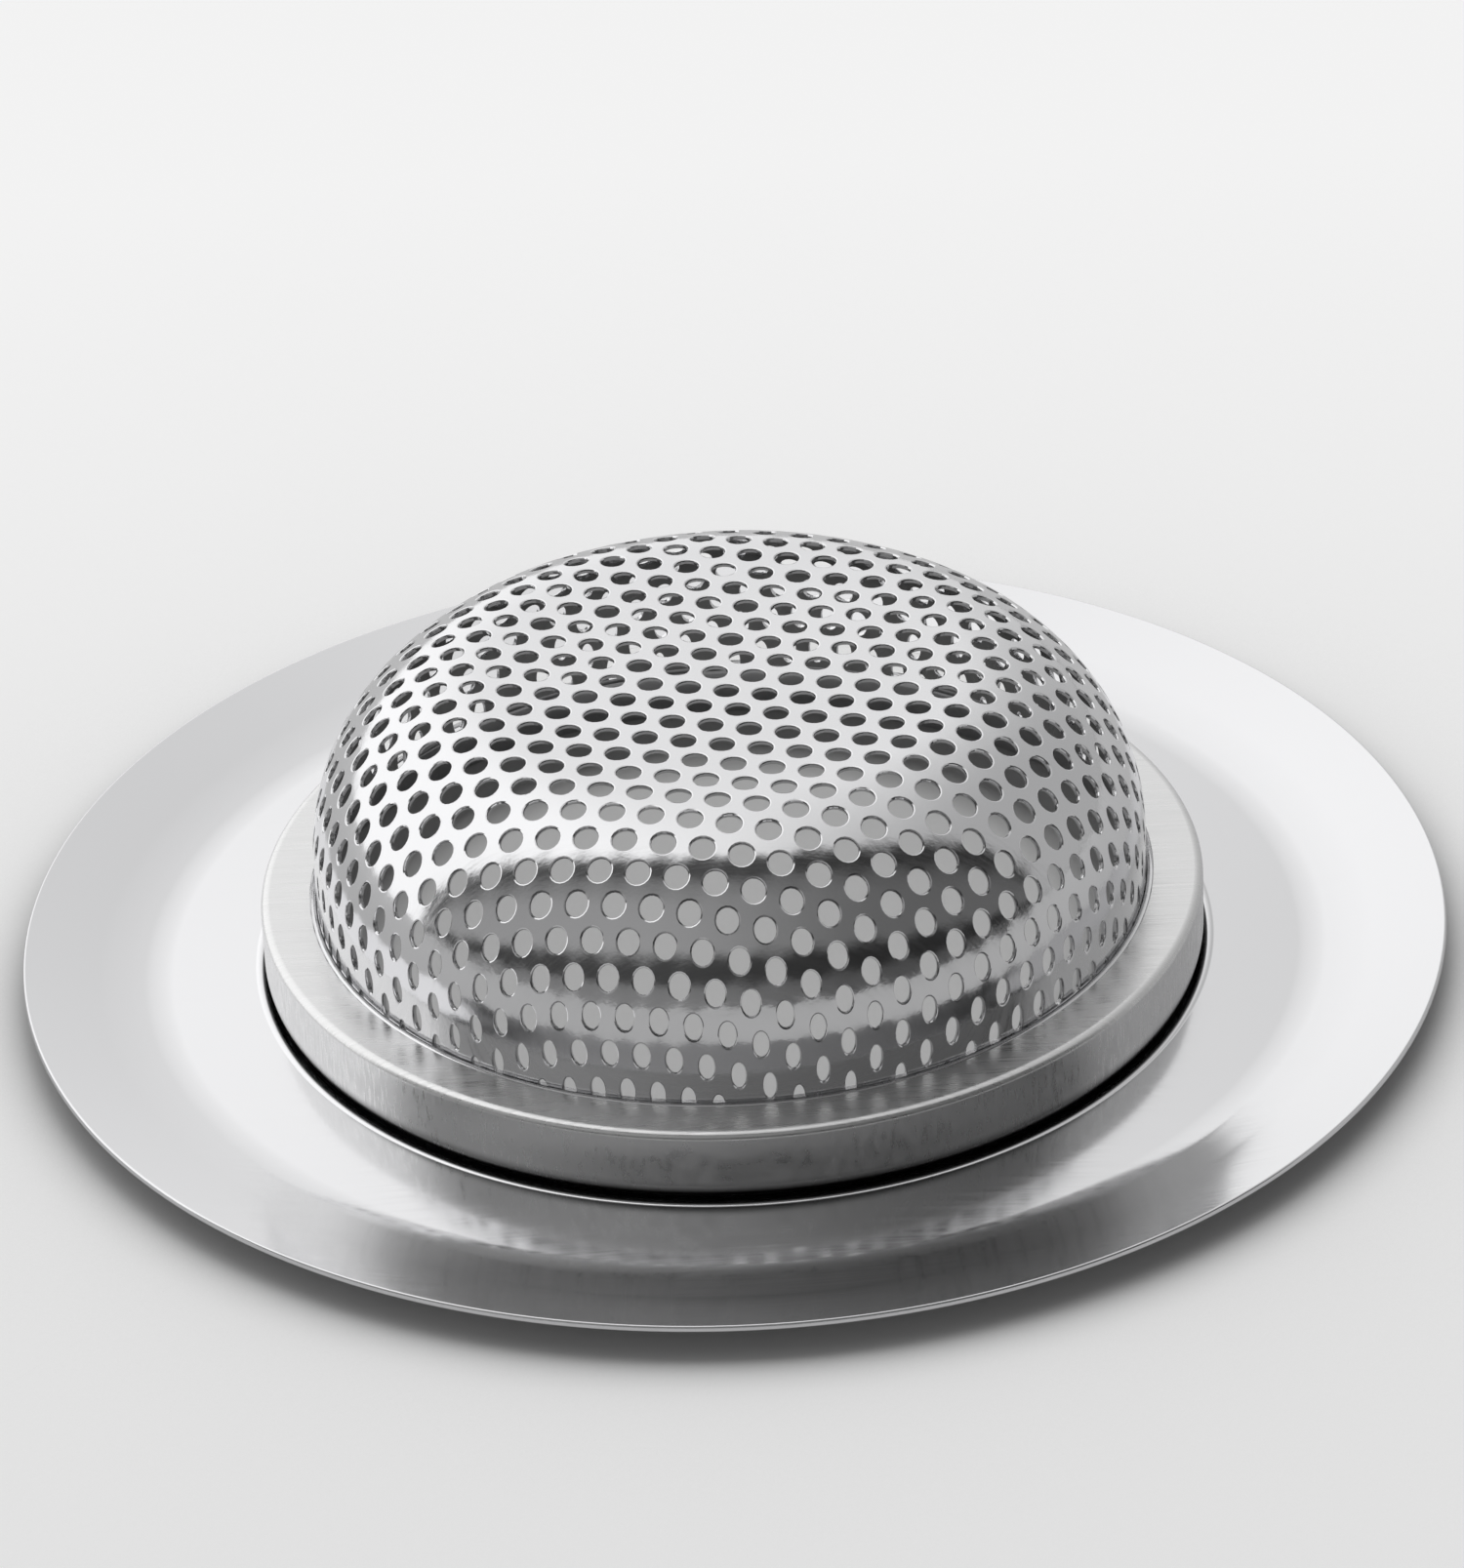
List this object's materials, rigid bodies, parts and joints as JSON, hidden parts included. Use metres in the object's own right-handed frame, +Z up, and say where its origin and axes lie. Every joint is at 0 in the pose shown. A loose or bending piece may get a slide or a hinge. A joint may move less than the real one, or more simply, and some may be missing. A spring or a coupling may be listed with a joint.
{
  "type": "sink strainer",
  "caption": "Round kitchen sink strainer with a wide stainless flange, a crimped collar and a perforated dome basket, standing upside down on its flange.",
  "frame": {"origin": "on the table under the middle of the dome, the centre of the bounding box's bottom", "axes": "+Z up along the dome's axis as pictured (dome up, so in use it is turned over), camera on the -Y side"},
  "size_m": [0.114, 0.114, 0.0259],
  "materials": {
    "flange_steel": "satin",
    "collar_steel": "polished",
    "basket_steel": "polished"
  },
  "bodies": {
    "root": {"rim_flange": "flange_steel", "crimp_ring": "collar_steel", "basket": "basket_steel"}
  },
  "joints": []
}
